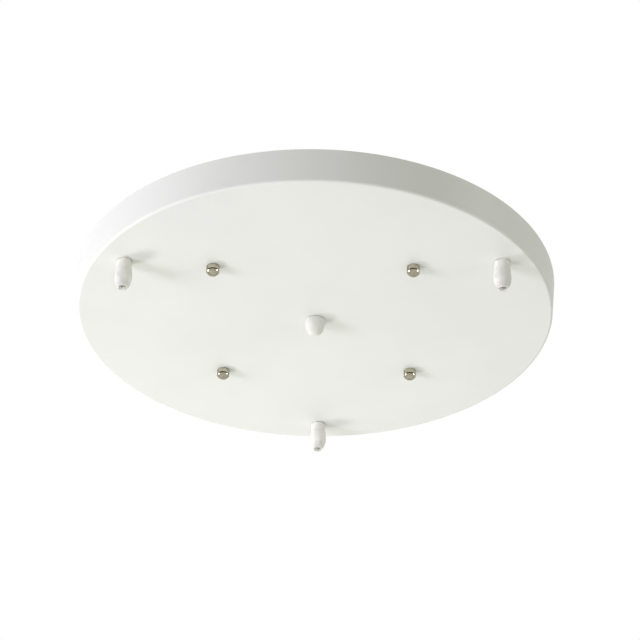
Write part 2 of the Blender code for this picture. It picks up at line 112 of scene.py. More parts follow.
class Finish(Nodes):
    def __init__(self, name, viewColour):
        self.material = bpy.data.materials.new(name)
        self.material.use_nodes = True
        self.material.diffuse_color = (*viewColour, 1)
        super().__init__(self.material.node_tree)
        self.shader = self.tree.nodes["Principled BSDF"]
        self.place = self.node("ShaderNodeTexCoord", {}, {}, "Object")

    def set(self, sockets):
        for key, value in sockets.items():
            self.feed(self.shader.inputs[key], value)

    def part(self, axis):
        return self.node("ShaderNodeSeparateXYZ", {}, {"Vector": self.place}, axis)

    def stretched(self, factors, turn=0.0):
        return self.node("ShaderNodeMapping", {}, {
            "Vector": self.place, "Scale": factors, "Rotation": (0, 0, turn)})

    def fromAxis(self, x=0, y=0):
        # How far a place is from an upright axis
        return self.node("ShaderNodeVectorMath", {"operation": "DISTANCE"},
                         {0: self.stretched((1, 1, 0)), 1: (x, y, 0)}, "Value")

    def noise(self, scale, detail=2.0, rough=0.5, place=None):
        return self.node("ShaderNodeTexNoise", {}, {
            "Vector": place or self.place, "Scale": scale, "Detail": detail, "Roughness": rough})

    def mottle(self, scale, low, high, detail=3.0, rough=0.5):
        # Noise with more contrast: 0 where it is below low, and 1 above high
        return self.between(self.noise(scale, detail, rough), low, high)

    def streaks(self, factors, detail, rough, turn=0.0):
        # Noise drawn out along the axes with the smaller factors
        return self.noise(1.0, detail, rough, self.stretched(factors, turn))

    def between(self, value, low, high, first=0.0, last=1.0):
        return self.node("ShaderNodeMapRange", {}, {
            "Value": value, "From Min": low, "From Max": high, "To Min": first, "To Max": last})

    def blend(self, share, first, second):
        # A Mix node's inputs 6 and 7 are its colours, and its output 2 is the mixed one
        paired = {"Factor": share, 6: colourOf(first), 7: colourOf(second)}
        return self.node("ShaderNodeMix", {"data_type": "RGBA"}, paired, 2)

    def bumps(self, height, strength, distance):
        self.set({"Normal": self.node("ShaderNodeBump", {}, {
            "Height": height, "Strength": strength, "Distance": distance})})


def colourOf(value):
    return value if isinstance(value, Signal) else (*value, 1)


# Ways of working

def clearAll():
    if bpy.context.object and bpy.context.object.mode != "OBJECT":
        bpy.ops.object.mode_set(mode="OBJECT")
    bpy.ops.object.select_all(action="DESELECT")


def pickUp(piece):
    clearAll()
    piece.select_set(True)
    bpy.context.view_layer.objects.active = piece


def dropPiece(piece):
    pickUp(piece)
    bpy.ops.object.delete()


def editing(on):
    bpy.ops.object.mode_set(mode="EDIT" if on else "OBJECT")


def choose(kind, test):
    # Selects the vertices, or the edges, whose middle passes the test, and nothing else
    bpy.ops.mesh.select_mode(type=kind)
    bpy.ops.mesh.select_all(action="DESELECT")
    mesh = bpy.context.object.data
    shape = bmesh.from_edit_mesh(mesh)
    for item in shape.verts if kind == "VERT" else shape.edges:
        middle = item.co if kind == "VERT" else (item.verts[0].co + item.verts[1].co) / 2
        if test(middle):
            item.select_set(True)
    shape.select_flush_mode()
    bmesh.update_edit_mesh(mesh)


def applyAll(piece):
    pickUp(piece)
    for modifier in list(piece.modifiers):
        bpy.ops.object.modifier_apply(modifier=modifier.name)


def carve(piece, cutter, operation="DIFFERENCE"):
    boolean = piece.modifiers.new("carve", "BOOLEAN")
    boolean.operation = operation
    boolean.solver = "EXACT"
    boolean.object = cutter
    applyAll(piece)
    dropPiece(cutter)
    pickUp(piece)


def tidyMesh(threshold=0.0005 * mm):
    bpy.ops.mesh.select_all(action="SELECT")
    bpy.ops.mesh.remove_doubles(threshold=threshold)
    bpy.ops.mesh.normals_make_consistent(inside=False)


def drawProfile(name, points):
    # One point is drawn out along (radius, height) points in the XZ plane
    clearAll()
    bpy.ops.mesh.primitive_plane_add(size=mm)
    piece = bpy.context.object
    piece.name = name
    piece.data.name = name
    editing(True)
    bpy.ops.mesh.select_mode(type="VERT")
    bpy.ops.mesh.select_all(action="SELECT")
    bpy.ops.mesh.merge(type="CENTER")
    bpy.ops.transform.translate(value=(points[0][0], 0, points[0][1]))
    for before, after in zip(points, points[1:]):
        step = (after[0] - before[0], 0, after[1] - before[1])
        bpy.ops.mesh.extrude_vertices_move(TRANSFORM_OT_translate={"value": step})
    return piece


def turnPiece(name, points, sides):
    piece = drawProfile(name, points)
    bpy.ops.mesh.select_all(action="SELECT")
    bpy.ops.mesh.spin(steps=sides, angle=fullTurn, center=(0, 0, 0), axis=(0, 0, 1),
                      use_auto_merge=True)
    tidyMesh()
    editing(False)
    return piece


def arc(centre, radius, start, end, steps):
    angles = [math.radians(start + (end - start) * step / steps) for step in range(steps + 1)]
    return [(centre[0] + radius * math.cos(a), centre[1] + radius * math.sin(a)) for a in angles]


def roundTaper(start, end, power, steps):
    # From a (radius, height) down to another, full at first and steeper later
    shares = [step / steps for step in range(steps + 1)]
    return [(start[0] + (end[0] - start[0]) * share ** power,
             start[1] + (end[1] - start[1]) * share) for share in shares]


def domedEnd(radius, start, height, power, steps):
    # A dome that closes on the axis, and is fuller than round where the power is above 2
    angles = [math.pi / 2 * step / steps for step in range(steps)]
    return [(radius * math.cos(a), start - height * math.sin(a) ** (2 / power))
            for a in angles] + [(0, start - height)]


def rod(name, radius, low, high, sides, place=(0, 0)):
    clearAll()
    bpy.ops.mesh.primitive_cylinder_add(vertices=sides, radius=radius, depth=high - low,
                                        location=(*place, (low + high) / 2))
    piece = bpy.context.object
    piece.name = name
    bpy.ops.object.transform_apply(location=True, rotation=True, scale=True)
    return piece


def flaredDrill(bore, low, high, flare, sides):
    # A drill for a through hole that breaks both of its edges at 45 degrees
    wide = bore + flare + overrun
    return turnPiece("drill", [(0, high + overrun), (wide, high + overrun), (bore, high - flare),
                               (bore, low + flare), (wide, low - overrun), (0, low - overrun)],
                     sides)


def turnRound(piece, angle):
    pickUp(piece)
    piece.rotation_euler.z = angle
    bpy.ops.object.transform_apply(rotation=True)


# In pitches: where a tooth's flank and crest start, where its crest ends, and how far below the
# rod the winding starts
winding = {"flank": 0.22, "crestStart": 0.54, "crestEnd": 0.68, "lead": 1.5, "extraTurns": 3,
           "weld": 0.002 * mm, "chamfer": 0.5 * mm}


def woundRod(name, thread, low, high, sides):
    # A tooth is wound up the rod, closed at both ends and trimmed by a chamfered blank
    pitch = thread["pitch"]
    crest = thread["crest"]
    root = thread["root"]
    start = low - winding["lead"] * pitch
    tooth = [(root, start), (root, start + winding["flank"] * pitch),
             (crest, start + winding["crestStart"] * pitch),
             (crest, start + winding["crestEnd"] * pitch), (root, start + pitch)]
    piece = drawProfile(name, tooth)
    editing(False)
    screw = piece.modifiers.new("wind", "SCREW")
    screw.axis = "Z"
    screw.screw_offset = pitch
    screw.iterations = math.ceil((high - low) / pitch) + winding["extraTurns"]
    screw.steps = sides
    screw.render_steps = sides
    screw.use_merge_vertices = False
    applyAll(piece)
    editing(True)
    bpy.ops.mesh.select_all(action="SELECT")
    bpy.ops.mesh.remove_doubles(threshold=winding["weld"])
    bpy.ops.mesh.select_all(action="SELECT")
    bpy.ops.mesh.fill_holes(sides=0)
    tidyMesh()
    editing(False)
    chamfer = winding["chamfer"]
    rim = crest + near
    blank = turnPiece("blank", [(0, high), (crest - chamfer, high), (rim, high - chamfer),
                                (rim, low + chamfer), (crest - chamfer, low), (0, low)], sides)
    carve(piece, blank, "INTERSECT")
    return piece


hexShape = {"corners": 6, "chamferAngle": 30, "flare": 0.25 * mm, "sides": 60, "boreSides": 40}


def hexNut(name, nut, low, turned=0.0):
    # Six flats are cut from a blank with both corner chamfers, then it is bored
    corner = nut["flats"] / math.sqrt(3)
    flat = nut["flats"] / 2
    high = low + nut["height"]
    drop = (corner - flat) * math.tan(math.radians(hexShape["chamferAngle"]))
    blank = turnPiece("blank", [(0, high), (flat, high), (corner, high - drop),
                                (corner, low + drop), (flat, low), (0, low)], hexShape["sides"])
    piece = rod(name, corner, low - overrun, high + overrun, hexShape["corners"])
    turnRound(piece, turned + math.pi / hexShape["corners"])
    carve(piece, blank, "INTERSECT")
    carve(piece, flaredDrill(nut["bore"], low, high, hexShape["flare"], hexShape["boreSides"]))
    return piece


def softEdges(piece, width=0, angle=34):
    # Rounds the edges where a width is given, then shades smooth and keeps flat faces flat
    if width:
        bevel = piece.modifiers.new("edges", "BEVEL")
        bevel.width = width
        bevel.segments = 2
        bevel.limit_method = "ANGLE"
        bevel.angle_limit = math.radians(angle)
        bevel.use_clamp_overlap = True
    applyAll(piece)
    bpy.ops.object.shade_smooth_by_angle(angle=math.radians(angle))
    weighted = piece.modifiers.new("flats", "WEIGHTED_NORMAL")
    weighted.keep_sharp = True
    weighted.weight = 80
    applyAll(piece)


def placeCopy(piece, name, place, turned=0.0):
    pickUp(piece)
    bpy.ops.object.duplicate()
    copy = bpy.context.object
    copy.name = name
    copy.data.name = name
    copy.location = place
    copy.rotation_euler.z = turned
    bpy.ops.object.transform_apply(location=True, rotation=True, scale=True)
    return copy


def fit(piece, finish, body, node):
    piece.data.materials.clear()
    piece.data.materials.append(finish.material)
    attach(piece, body)
    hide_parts(node)


def middleOf(node):
    low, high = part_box(node)
    return (low + high) / 2


def seatOf(node, height=0.0):
    # Where a piece stands at this height, and the way it faces from the pan's middle
    middle = middleOf(node)
    return (middle.x, middle.y, height), math.atan2(middle.y, middle.x)


# Camera, light and backdrop

def makeCamera():
    # Angles are in degrees, and the lens is in millimetres
    photo = {"aim": (0, 0, panFace), "distance": 1.657, "below": 32.411, "around": 1.549,
             "lens": 127.665, "sensor": 36, "pan": -0.129, "tilt": 0.007, "roll": -1.033,
             "nearest": 0.01, "farthest": 60}
    below = math.radians(photo["below"])
    around = math.radians(photo["around"])
    back = Vector((math.sin(around) * math.cos(below), -math.cos(around) * math.cos(below),
                   -math.sin(below)))
    ahead = -back
    right = ahead.cross(Vector((0, 0, 1))).normalized()
    up = right.cross(ahead)
    for angle, axis in (("pan", up), ("tilt", right), ("roll", ahead)):
        spin = Matrix.Rotation(math.radians(photo[angle]), 3, axis)
        ahead = spin @ ahead
        right = spin @ right
        up = spin @ up
    bpy.ops.object.camera_add(location=Vector(photo["aim"]) + back * photo["distance"])
    camera = bpy.context.object
    camera.name = "photoCamera"
    camera.rotation_euler = Matrix((right, up, -ahead)).transposed().to_euler()
    camera.data.lens = photo["lens"]
    camera.data.sensor_width = photo["sensor"]
    camera.data.clip_start = photo["nearest"]
    camera.data.clip_end = photo["farthest"]
    bpy.context.scene.camera = camera


lampAim = (0, 0, -20 * mm)
warmWhite = (1.0, 0.985, 0.925)
coolWhite = (1.03, 0.975, 1.14)
plainWhite = (1.0, 1.0, 0.975)


def makeLamp(name, towards, distance, size, strength, colour):
    # strength is how much light falls on a surface that faces the lamp
    clearAll()
    towards = Vector(towards).normalized()
    bpy.ops.object.light_add(type="AREA", location=Vector(lampAim) + towards * distance)
    lamp = bpy.context.object
    lamp.name = name
    lamp.rotation_euler = towards.to_track_quat("Z", "Y").to_euler()
    lamp.data.shape = "DISK"
    lamp.data.size = size
    lamp.data.energy = strength * math.pi ** 2 * distance ** 2
    lamp.data.color = colour
    lamp.visible_camera = False
    return lamp


def makeLamps():
    # The way to each lamp, its distance and width, its strength and its colour
    lamps = {"keyLamp": ((-0.70, 0.23, -0.67), 1.3, 0.36, 0.30, plainWhite),
             "farWash": ((0.05, 0.62, -0.45), 0.77, 0.5, 0.14, warmWhite),
             "sideLamp": ((-0.80, -0.43, -0.36), 2.6, 1.0, 0.43, coolWhite),
             "leftWash": ((-0.98, -0.12, -0.12), 2.8, 2.0, 0.20, coolWhite),
             "rightLamp": ((0.90, -0.38, -0.18), 2.6, 0.7, 0.115, warmWhite)}
    # White cards that only show as a sheen on the nuts and on the wall of the pan
    cards = {"nutCardLeft": ((-0.95, -0.10, -0.32), 2.2, 0.80, 0.24, warmWhite),
             "nutCardRight": ((0.92, -0.21, -0.36), 2.2, 0.62, 0.16, warmWhite),
             "leftCard": ((-0.78, -0.50, 0.37), 2.6, 1.1, 0.15, warmWhite),
             "rightCard": ((0.90, -0.25, 0.37), 2.6, 1.1, 0.11, warmWhite)}
    for name, values in lamps.items():
        makeLamp(name, *values).visible_glossy = False
    for name, values in cards.items():
        makeLamp(name, *values).visible_diffuse = False


def makeTopLight():
    # Light from above falls on the floor, which lights the canopy's face
    top = {"strength": 0.275, "lean": (-14, 10), "spread": 24}
    clearAll()
    bpy.ops.object.light_add(type="SUN", location=(0, 0, 2))
    lamp = bpy.context.object
    lamp.name = "topLight"
    lamp.rotation_euler = (math.radians(top["lean"][0]), math.radians(top["lean"][1]), 0)
    lamp.data.energy = top["strength"] * math.pi
    lamp.data.angle = math.radians(top["spread"])
    lamp.data.color = warmWhite
    lamp.visible_glossy = False


def makeStudio():
    # The studio is seen and mirrored as pure white, and lights the pieces less than that
    studio = {"seen": 1.0, "fill": 0.32}
    world = bpy.data.worlds.new("whiteStudio")
    bpy.context.scene.world = world
    world.use_nodes = True
    world.node_tree.nodes.clear()
    sky = Nodes(world.node_tree)
    rays = [sky.node("ShaderNodeLightPath", {}, {}, kind)
            for kind in ("Is Camera Ray", "Is Glossy Ray", "Is Transmission Ray")]
    seen = rays[0]
    for ray in rays[1:]:
        seen = seen.combine("MAXIMUM", seen, ray)
    white = sky.node("ShaderNodeBackground", {}, {
        "Color": (1, 1, 1, 1), "Strength": studio["seen"]})
    fill = sky.node("ShaderNodeBackground", {}, {
        "Color": (*warmWhite, 1), "Strength": studio["fill"]})
    mixed = sky.node("ShaderNodeMixShader", {}, {0: seen, 1: fill, 2: white})
    output = sky.tree.nodes.new("ShaderNodeOutputWorld")
    sky.feed(output.inputs["Surface"], mixed)


def makeFloor():
    paper = {"size": 50, "height": -2.4, "light": (0.86, 0.86, 0.86), "dark": (0.84, 0.84, 0.84),
             "cloudScale": 1.5, "gloss": 0.9}
    clearAll()
    bpy.ops.mesh.primitive_plane_add(size=paper["size"], location=(0, 0, paper["height"]))
    floor = bpy.context.object
    floor.name = "paleFloor"
    finish = Finish("palePaper", paper["light"])
    cloud = finish.noise(paper["cloudScale"])
    finish.set({"Base Color": finish.blend(cloud, paper["light"], paper["dark"]),
                "Roughness": paper["gloss"]})
    floor.data.materials.append(finish.material)


makeCamera()
makeLamps()
makeTopLight()
makeStudio()
makeFloor()
view = bpy.context.scene.view_settings
view.view_transform = "Standard"
print("stage: camera, light and floor made")


# Pressed pan

pan = {"radius": 175 * mm, "sheet": 1.0 * mm, "bend": 1.8 * mm, "lean": 2.0 * mm,
       "lip": 0.3 * mm, "gripHole": 5.15 * mm, "studHole": 2.5 * mm, "holeEdge": 0.18 * mm,
       "sides": 288, "bendSteps": 10, "holeSides": 48}
wallHeight = -panFace - pan["bend"]  # of the straight part above the bend


def makePowderCoat():
    coat = {"white": (0.80, 0.825, 0.775), "shade": (0.775, 0.80, 0.755),
            "thin": (0.70, 0.71, 0.67), "thinShare": 0.55, "gloss": 0.44, "cloudScale": 14,
            "dustScale": 38, "peelScale": 620, "fineScale": 2300, "peelDepth": 0.06 * mm}
    finish = Finish("whitePowderCoat", coat["white"])
    cloud = finish.noise(coat["cloudScale"], 3.0)
    base = finish.blend(finish.between(cloud, 0.35, 0.65), coat["white"], coat["shade"])
    # Inside the pan, past the middle of its leaning sheet, the coat is thin and a little dusty
    height = finish.part("Z")
    atRim = finish.fromAxis() - height * (pan["lean"] / wallHeight)
    inside = ((height > panFace + pan["sheet"] / 2)
              * (atRim < pan["radius"] - pan["sheet"] / 2))
    dust = inside * finish.mottle(coat["dustScale"], 0.42, 0.62, 4.0, 0.62) * coat["thinShare"]
    peel = finish.noise(coat["peelScale"])
    fine = finish.noise(coat["fineScale"], 1.0)
    finish.set({"Base Color": finish.blend(dust, base, coat["thin"]), "IOR": 1.48,
                "Roughness": coat["gloss"] + 0.06 * cloud + 0.05 * fine + 0.14 * inside})
    finish.bumps(peel * 0.8 + fine * 0.2, 0.11, coat["peelDepth"])
    return finish


def makePan():
    # The section is one closed ring, from the grip hole's edge round the wall and back
    radius = pan["radius"]
    sheet = pan["sheet"]
    bend = pan["bend"]
    lip = pan["lip"]
    inner = panFace + sheet
    lean = math.degrees(math.atan2(pan["lean"], wallHeight))
    centre = (radius - pan["lean"] - bend, panFace + bend)
    outside = arc(centre, bend, -90, -lean, pan["bendSteps"])
    inside = arc(centre, bend - sheet, -lean, -90, pan["bendSteps"])
    outerLip = arc((radius - lip, -lip), lip, 0, 90, roundSteps)
    innerLip = arc((radius - sheet + lip, -lip), lip, 90, 180, roundSteps)
    hole = pan["gripHole"]
    edge = pan["holeEdge"]
    ring = [(hole + edge, panFace)] + outside + outerLip + innerLip + inside
    ring += [(hole + edge, inner), (hole, inner - edge), (hole, panFace + edge),
             (hole + edge, panFace)]
    piece = turnPiece("canopyPan", ring, pan["sides"])
    places = [("grip_cap_%d" % number, hole) for number in (1, 2, 3)]
    places += [("cap_nut_%d" % number, pan["studHole"]) for number in (1, 2, 3, 4)]
    for node, bore in places:
        drill = flaredDrill(bore, panFace, inner, edge, pan["holeSides"])
        drill.location = seatOf(node)[0]
        carve(piece, drill)
    softEdges(piece)
    fit(piece, makePowderCoat(), "canopy", "canopy_pan")


makePan()
print("stage: pan made")


# Crossed bracket

# The lower bar is flat this far out from its middle, and then runs up to the level of its arms
bracket = {"width": 20 * mm, "sheet": 1.5 * mm, "flat": 12 * mm, "run": 3.2 * mm,
           "fold": 0.75 * mm, "foldSteps": 5, "endSteps": 16, "slotWidth": 6.2 * mm,
           "slotStart": 23.2 * mm, "slotFromStud": 18 * mm, "slotSteps": 12,
           "studHole": 2.15 * mm, "studHoleSides": 32, "rivetHole": 2.9 * mm,
           "rivetMouth": 4.15 * mm, "rivetHoleSides": 48, "edge": 0.14 * mm, "turn": 45,
           "cutTop": 3 * mm, "cutDepth": 6 * mm, "sinkTop": 2 * mm}


def makeZinc():
    zinc = {"blue": (0.56, 0.60, 0.66), "warm": (0.66, 0.65, 0.58), "dull": (0.44, 0.45, 0.46),
            "dullShare": 0.6, "gloss": 0.27, "tintScale": 70, "spotScale": 420,
            "grainScale": 900, "rolling": (160, 1500, 400), "grainDepth": 0.03 * mm}
    finish = Finish("zincPlate", zinc["blue"])
    tint = finish.mottle(zinc["tintScale"], 0.36, 0.64)
    base = finish.blend(tint, zinc["blue"], zinc["warm"])
    spots = finish.mottle(zinc["spotScale"], 0.58, 0.74, 3.0, 0.7)
    grain = finish.noise(zinc["grainScale"], 2.0, 0.6)
    rolled = finish.streaks(zinc["rolling"], 2.0, 0.6, math.radians(bracket["turn"]))
    finish.set({"Base Color": finish.blend(spots * zinc["dullShare"], base, zinc["dull"]),
                "Metallic": 1.0, "Roughness": zinc["gloss"] + 0.16 * grain + 0.12 * spots})
    finish.bumps(grain * 0.5 + rolled * 0.5, 0.16, zinc["grainDepth"])
    return finish


def makeSlotCutter(side, studReach):
    start = bracket["slotStart"]
    end = studReach - bracket["slotFromStud"]
    wide = bracket["slotWidth"]
    clearAll()
    bpy.ops.mesh.primitive_cube_add(size=1, location=(side * (start + end) / 2, 0, 0))
    cutter = bpy.context.object
    editing(True)
    bpy.ops.mesh.select_all(action="SELECT")
    bpy.ops.transform.resize(value=(end - start, wide, 2 * bracket["cutDepth"]))
    choose("EDGE", lambda at: abs(at.z) < near)
    bpy.ops.mesh.bevel(offset=wide / 2, segments=bracket["slotSteps"], affect="EDGES")
    tidyMesh(near)
    editing(False)
    return cutter


def makeBar(name, drop, studReach):
    half = bracket["width"] / 2
    clearAll()
    bpy.ops.mesh.primitive_plane_add(size=1)
    piece = bpy.context.object
    piece.name = name
    piece.data.name = name
    editing(True)
    bpy.ops.mesh.select_all(action="SELECT")
    bpy.ops.transform.resize(value=((studReach + half) * 2, bracket["width"], 1))
    bpy.ops.mesh.bevel(offset=half, segments=bracket["endSteps"], affect="VERTICES")
    bpy.ops.mesh.select_all(action="SELECT")
    bpy.ops.mesh.remove_doubles(threshold=near)
    if drop:
        folds = (bracket["flat"], bracket["flat"] + bracket["run"])
        for side in (-1, 1):
            for fold in folds:
                bpy.ops.mesh.select_all(action="SELECT")
                bpy.ops.mesh.bisect(plane_co=(side * fold, 0, 0), plane_no=(1, 0, 0))
        choose("VERT", lambda at: abs(at.x) < bracket["flat"] + near)
        bpy.ops.transform.translate(value=(0, 0, -drop))
        choose("EDGE", lambda at: abs(at.y) < near
               and min(abs(abs(at.x) - fold) for fold in folds) < near)
        bpy.ops.mesh.bevel(offset=bracket["fold"], segments=bracket["foldSteps"],
                           affect="EDGES")
    editing(False)
    solid = piece.modifiers.new("sheet", "SOLIDIFY")
    solid.thickness = bracket["sheet"]
    solid.offset = -1
    solid.use_even_offset = True
    applyAll(piece)
    for side in (-1, 1):
        carve(piece, rod("drill", bracket["studHole"], -bracket["cutDepth"], bracket["cutTop"],
                         bracket["studHoleSides"], (side * studReach, 0)))
        carve(piece, makeSlotCutter(side, studReach))
    return piece


def makeBracket(finish):
    studPlace = middleOf("stud_3")
    studReach = math.hypot(studPlace.x, studPlace.y)
    hole = bracket["rivetHole"]
    mouth = bracket["rivetMouth"]
    sinkTop = bracket["sinkTop"]
    sides = bracket["rivetHoleSides"]
    angle = math.radians(bracket["turn"])
    upper = makeBar("bracketUpperBar", 0, studReach)
    # The upper bar's hole is sunk for the rivet's flush head
    sink = turnPiece("drill", [(0, sinkTop), (mouth + sinkTop, sinkTop), (hole, hole - mouth),
                               (hole, -bracket["cutDepth"]), (0, -bracket["cutDepth"])], sides)
    carve(upper, sink)
    softEdges(upper, bracket["edge"])
    turnRound(upper, angle)
    fit(upper, finish, "canopy", "bracket_bar_upper")
    lower = makeBar("bracketLowerBar", bracket["sheet"] + seatGap, studReach)
    carve(lower, rod("drill", hole, -bracket["cutDepth"], bracket["cutTop"], sides))
    softEdges(lower, bracket["edge"])
    turnRound(lower, -angle)
    fit(lower, finish, "canopy", "bracket_bar_lower")


def makeRivet(finish):
    rivet = {"flush": 4.0 * mm, "flushEdge": 0.12 * mm, "shank": 2.8 * mm, "formed": 5.0 * mm,
             "formedEdge": 0.1 * mm, "under": -3.38 * mm, "land": 0.25 * mm,
             "head": 2.42 * mm, "domeSteps": 10, "sides": 48}
    flush = rivet["flush"]
    shank = rivet["shank"]
    under = rivet["under"]
    profile = [(0, 0), (flush - rivet["flushEdge"], 0), (flush, -rivet["flushEdge"]),
               (shank, shank - flush), (shank, under),
               (rivet["formed"] - rivet["formedEdge"], under)]
    profile += domedEnd(rivet["formed"], under - rivet["land"], rivet["head"] - rivet["land"], 2,
                        rivet["domeSteps"])
    piece = turnPiece("bracketRivet", profile, rivet["sides"])
    softEdges(piece)
    fit(piece, finish, "canopy", "bracket_rivet")


zincPlate = makeZinc()
makeBracket(zincPlate)
makeRivet(zincPlate)
print("stage: bracket made")


# Studs, lock nuts and round cap nuts

smallThread = {"pitch": 0.7 * mm, "crest": 1.95 * mm, "root": 1.55 * mm, "sides": 24}
smallNut = {"flats": 7 * mm, "height": 3.2 * mm, "bore": 1.98 * mm, "edge": 0.05 * mm,
            "turn": 105}
# A cap nut's radii and heights, with a collar of rows and teeth above a groove and a dome
capNut = {"dome": 4.9 * mm, "domeHeight": 3.0 * mm, "domeEdge": 0.3 * mm, "domeSteps": 16,
          "rimEdge": 0.06 * mm,
          "collar": 4.65 * mm, "collarHeight": 3.6 * mm, "collarEdge": 0.25 * mm,
          "root": 4.38 * mm, "groove": 3.95 * mm, "grooveWidth": 1.0 * mm,
          "grooveEdge": 0.05 * mm, "teeth": 20, "rows": 5, "bore": 2.0 * mm,
          "boreDepth": 5.7 * mm, "chamfer": 0.35 * mm, "gap": 0.2 * mm}
collarEnd = -seatGap - capNut["collarHeight"]  # heights here start at the pan's face
grooveEnd = collarEnd - capNut["grooveWidth"]


def makeNickel():
    # The darkest colour below is painted shade for the groove and the knurl's hollows
    nickel = {"bright": (0.66, 0.63, 0.52), "warm": (0.53, 0.49, 0.37),
              "paintedShade": (0.10, 0.09, 0.06), "grooveShade": 0.85, "knurlShade": 0.25,
              "shadeFull": 4.45 * mm, "shadeNone": 4.58 * mm, "gloss": 0.10,
              "cloudScale": 420, "turning": (2600, 2600, 260), "scratchDepth": 0.01 * mm}
    finish = Finish("brightNickel", nickel["bright"])
    cloud = finish.mottle(nickel["cloudScale"], 0.38, 0.62, 3.0, 0.6)
    base = finish.blend(cloud, nickel["bright"], nickel["warm"])
    # Painted shade: the groove and the hollows between the points of the knurl are painted dark,
    # where shade falls
    height = finish.part("Z")
    grooveTop = panFace + collarEnd + capNut["grooveEdge"]
    groove = (height < grooveTop) * (height > panFace + grooveEnd - capNut["grooveEdge"])
    # All four nuts stand this far from the pan's middle lines, so one folded pattern serves all
    spacing = middleOf("cap_nut_1")
    across = [finish.node("ShaderNodeMath", {"operation": "ABSOLUTE"}, {0: finish.part(axis)})
              - abs(offset) for axis, offset in (("X", spacing.x), ("Y", spacing.y))]
    fromNut = finish.node("ShaderNodeMath", {"operation": "SQRT"},
                          {0: across[0] * across[0] + across[1] * across[1]})
    valleyShade = finish.between(fromNut, nickel["shadeFull"], nickel["shadeNone"], 1.0, 0.0)
    knurl = (height > grooveTop) * valleyShade
    # How much painted shade each place gets, from 0 to 1
    paintedShade = finish.between(groove * nickel["grooveShade"] + knurl * nickel["knurlShade"], 0.0, 1.0)
    scratch = finish.streaks(nickel["turning"], 3.0, 0.65)
    finish.set({"Base Color": finish.blend(paintedShade, base, nickel["paintedShade"]), "Metallic": 1.0,
                "Roughness": nickel["gloss"] + 0.08 * cloud + 0.06 * scratch})
    finish.bumps(scratch, 0.10, nickel["scratchDepth"])
    return finish


def makeCapNut():
    # Knurled collar, groove and dome, with a blind bore
    top = -capNut["gap"]
    chamfer = capNut["chamfer"]
    collar = capNut["collar"]
    groove = capNut["groove"]
    rim = capNut["dome"]
    tall = capNut["domeHeight"]
    ball = (rim ** 2 + tall ** 2) / (2 * tall)
    middle = grooveEnd - tall + ball
    rimAngle = math.asin((rim - capNut["rimEdge"]) / ball)
    steps = capNut["domeSteps"]
    angles = [rimAngle * (1 - step / steps) for step in range(steps)]
    dome = [(ball * math.sin(a), middle - ball * math.cos(a)) for a in angles]
    knurlTop = top - chamfer
    knurlEnd = collarEnd + capNut["collarEdge"]
    rows = capNut["rows"]
    knurl = [(collar, knurlTop + (knurlEnd - knurlTop) * row / rows) for row in range(rows + 1)]
    bore = capNut["bore"]
    profile = [(0, -capNut["boreDepth"]), (bore, -capNut["boreDepth"]), (bore, top),
               (collar - chamfer, top)] + knurl
    profile += [(collar - capNut["collarEdge"], collarEnd),
                (groove, collarEnd - capNut["grooveEdge"]),
                (groove, grooveEnd + capNut["grooveEdge"]), (rim - capNut["domeEdge"], grooveEnd)]
    profile += dome + [(0, grooveEnd - tall)]
    sides = capNut["teeth"] * 2
    piece = turnPiece("capNut", profile, sides)
    editing(True)
    column = fullTurn / sides
    level = (knurlTop - knurlEnd) / rows

    def inValley(at):
        # Every second corner of the collar's grid lies in a valley
        onCollar = math.hypot(at.x, at.y) >= collar - near
        if not onCollar or not knurlEnd - near <= at.z <= knurlTop + near:
            return False
        place = round(math.atan2(at.y, at.x) / column) + round((knurlTop - at.z) / level)
        return place % 2 == 1

    choose("VERT", inValley)
    share = capNut["root"] / collar
    bpy.ops.transform.resize(value=(share, share, 1), center_override=(0, 0, 0))
    editing(False)
    softEdges(piece, angle=20)
    return piece


def makeStuds():
    brightNickel = makeNickel()
    low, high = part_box("stud_1")
    stud = woundRod("stud", smallThread, low.z, high.z, smallThread["sides"])
    softEdges(stud)
    nut = hexNut("studNut", smallNut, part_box("stud_nut_1")[0].z)
    softEdges(nut, smallNut["edge"])
    cap = makeCapNut()
    for number in range(1, 5):
        place, angle = seatOf("stud_%d" % number)
        onFace = (place[0], place[1], panFace)
        fit(placeCopy(stud, "stud%d" % number, place, angle), zincPlate, "canopy",
            "stud_%d" % number)
        fit(placeCopy(nut, "studNut%d" % number, place, angle + math.radians(smallNut["turn"])),
            zincPlate, "canopy", "stud_nut_%d" % number)
        fit(placeCopy(cap, "capNut%d" % number, onFace, angle), brightNickel,
            "round_nut_%d" % number, "cap_nut_%d" % number)
    for piece in (stud, nut, cap):
        dropPiece(piece)


makeStuds()
print("stage: studs and cap nuts made")


# Cord grips and the blanking plug, with heights from the pan's face

gripThread = {"pitch": 1.0 * mm, "crest": 4.85 * mm, "root": 4.25 * mm, "low": -0.6 * mm,
              "high": 9.5 * mm, "flare": 0.4 * mm, "sides": 64}
gripNut = {"flats": 14 * mm, "height": 3.6 * mm, "bore": 4.9 * mm, "edge": 0.08 * mm,
           "turn": 15, "drop": 0.22 * mm}
grip = {"neck": 5.45 * mm, "neckEnd": -6.8 * mm, "edge": 0.25 * mm, "bore": 3.1 * mm,
        "spigot": 4.6 * mm, "coneStart": -14.9 * mm, "fingerEnd": -16.2 * mm,
        "fingerTip": 3.9 * mm, "slit": 1.0 * mm, "slitDepth": 5.2 * mm, "slitLength": 14 * mm,
        "tipEdge": 0.1 * mm}
clampCap = {"radius": 6.2 * mm, "rim": 5.9 * mm, "top": -7.1 * mm, "end": -22.3 * mm,
            "straight": 7.4 * mm, "bulge": 1.45, "taperSteps": 20, "edge": 0.3 * mm,
            "tip": 3.7 * mm, "tipEdge": 0.35 * mm, "tipSide": 0.1 * mm, "tipFace": 0.26 * mm,
            "exit": 3.0 * mm, "exitEdge": 0.18 * mm, "land": 4.0 * mm, "cone": 3.4 * mm,
            "bore": 4.95 * mm, "mouthEdge": 0.2 * mm}
